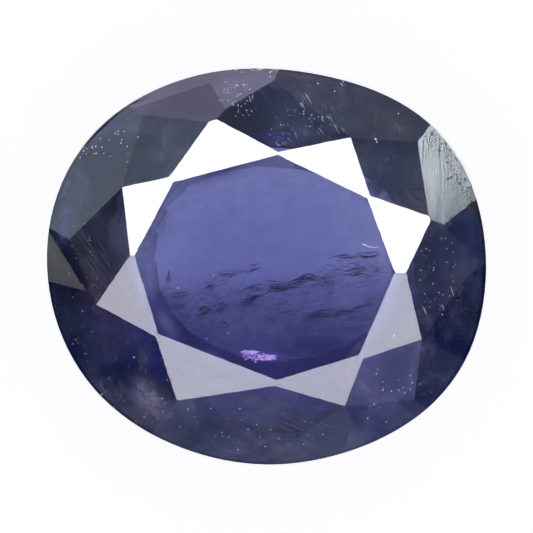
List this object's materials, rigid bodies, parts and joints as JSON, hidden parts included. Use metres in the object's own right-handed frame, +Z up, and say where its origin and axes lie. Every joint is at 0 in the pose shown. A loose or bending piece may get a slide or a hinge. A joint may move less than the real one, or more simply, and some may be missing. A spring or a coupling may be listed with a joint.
{
  "type": "iolite gemstone",
  "caption": "Loose oval iolite gemstone: faceted crown with a wide flat table, frosted girdle and a step-cut pavilion ending in a flat base facet that it rests on.",
  "frame": {"origin": "centre of the stone's outline box, at the height of the flat base facet", "axes": "+Z up through the middle of the table; +X along the length of the oval; +Y across its width, towards the top of the picture"},
  "size_m": [0.011, 0.01, 0.0055],
  "materials": {
    "iolite": "polished facets, frosted girdle"
  },
  "bodies": {
    "root": {"gemstone": "iolite"}
  },
  "joints": []
}
